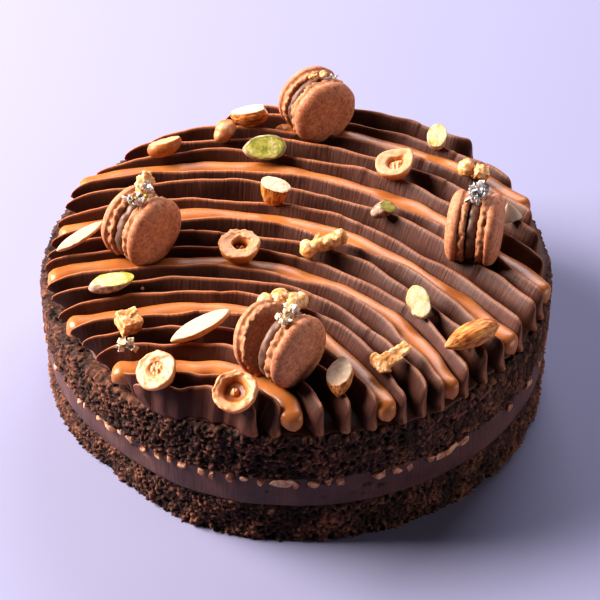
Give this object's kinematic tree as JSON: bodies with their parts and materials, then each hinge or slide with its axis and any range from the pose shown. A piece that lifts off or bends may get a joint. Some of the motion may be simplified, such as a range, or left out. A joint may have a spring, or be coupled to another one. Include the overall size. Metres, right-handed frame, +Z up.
{
  "type": "chocolate nut cake",
  "caption": "Round layered chocolate cake with a ganache filling, piped ganache ridges, caramel stripes, macarons and nuts.",
  "frame": {"origin": "centre of the flat underside of the lower sponge", "axes": "+Z up, -Y the front as shown, +X to the right as seen from the front"},
  "size_m": [0.2004, 0.2003, 0.1002],
  "materials": {
    "sponge": "dark open crumb, matte",
    "ganache_filling": "scraped smooth, slight sheen",
    "piped_ganache": "piped ganache, satin",
    "caramel": "wet gloss",
    "macaron_shell": "matte, speckled",
    "macaron_cream": "soft satin",
    "hazelnut": "roasted nut, satin",
    "almond": "wrinkled skin",
    "blanched_almond": "smooth, matte",
    "pistachio": "grainy cut nut",
    "praline": "sugar glazed",
    "metal_leaf": "crumpled edible leaf"
  },
  "bodies": {
    "root": {"lower_sponge": "sponge", "upper_sponge": "sponge", "ganache_filling": "ganache_filling", "piped_ganache": "piped_ganache", "caramel_1": "caramel", "caramel_2": "caramel", "caramel_3": "caramel", "caramel_4": "caramel", "caramel_5": "caramel", "caramel_6": "caramel", "macaron_back_near_shell": "macaron_shell", "macaron_back_cream": "macaron_cream", "macaron_back_far_shell": "macaron_shell", "macaron_left_near_shell": "macaron_shell", "macaron_left_cream": "macaron_cream", "macaron_left_far_shell": "macaron_shell", "macaron_right_near_shell": "macaron_shell", "macaron_right_cream": "macaron_cream", "macaron_right_far_shell": "macaron_shell", "macaron_front_near_shell": "macaron_shell", "macaron_front_cream": "macaron_cream", "macaron_front_far_shell": "macaron_shell", "hazelnut_1": "hazelnut", "hazelnut_2": "hazelnut", "hazelnut_3": "hazelnut", "hazelnut_4": "hazelnut", "almond_whole": "almond", "almond_tip": "almond", "almond_half": "almond", "almond_chunk": "almond", "almond_blanched": "blanched_almond", "almond_sliver": "blanched_almond", "almond_chip": "blanched_almond", "peanut_piece": "hazelnut", "peanut_half": "hazelnut", "pistachio_half": "pistachio", "pistachio_cut": "pistachio", "pistachio_dark": "pistachio", "pistachio_left": "pistachio", "pistachio_slice": "pistachio", "praline_twin": "praline", "praline_log": "praline", "praline_flake": "praline", "praline_cube": "praline", "praline_front": "praline", "praline_left_top": "praline", "praline_back_top": "praline", "foil_right_top": "metal_leaf", "foil_front_top": "metal_leaf", "foil_leaf": "metal_leaf"}
  },
  "joints": []
}
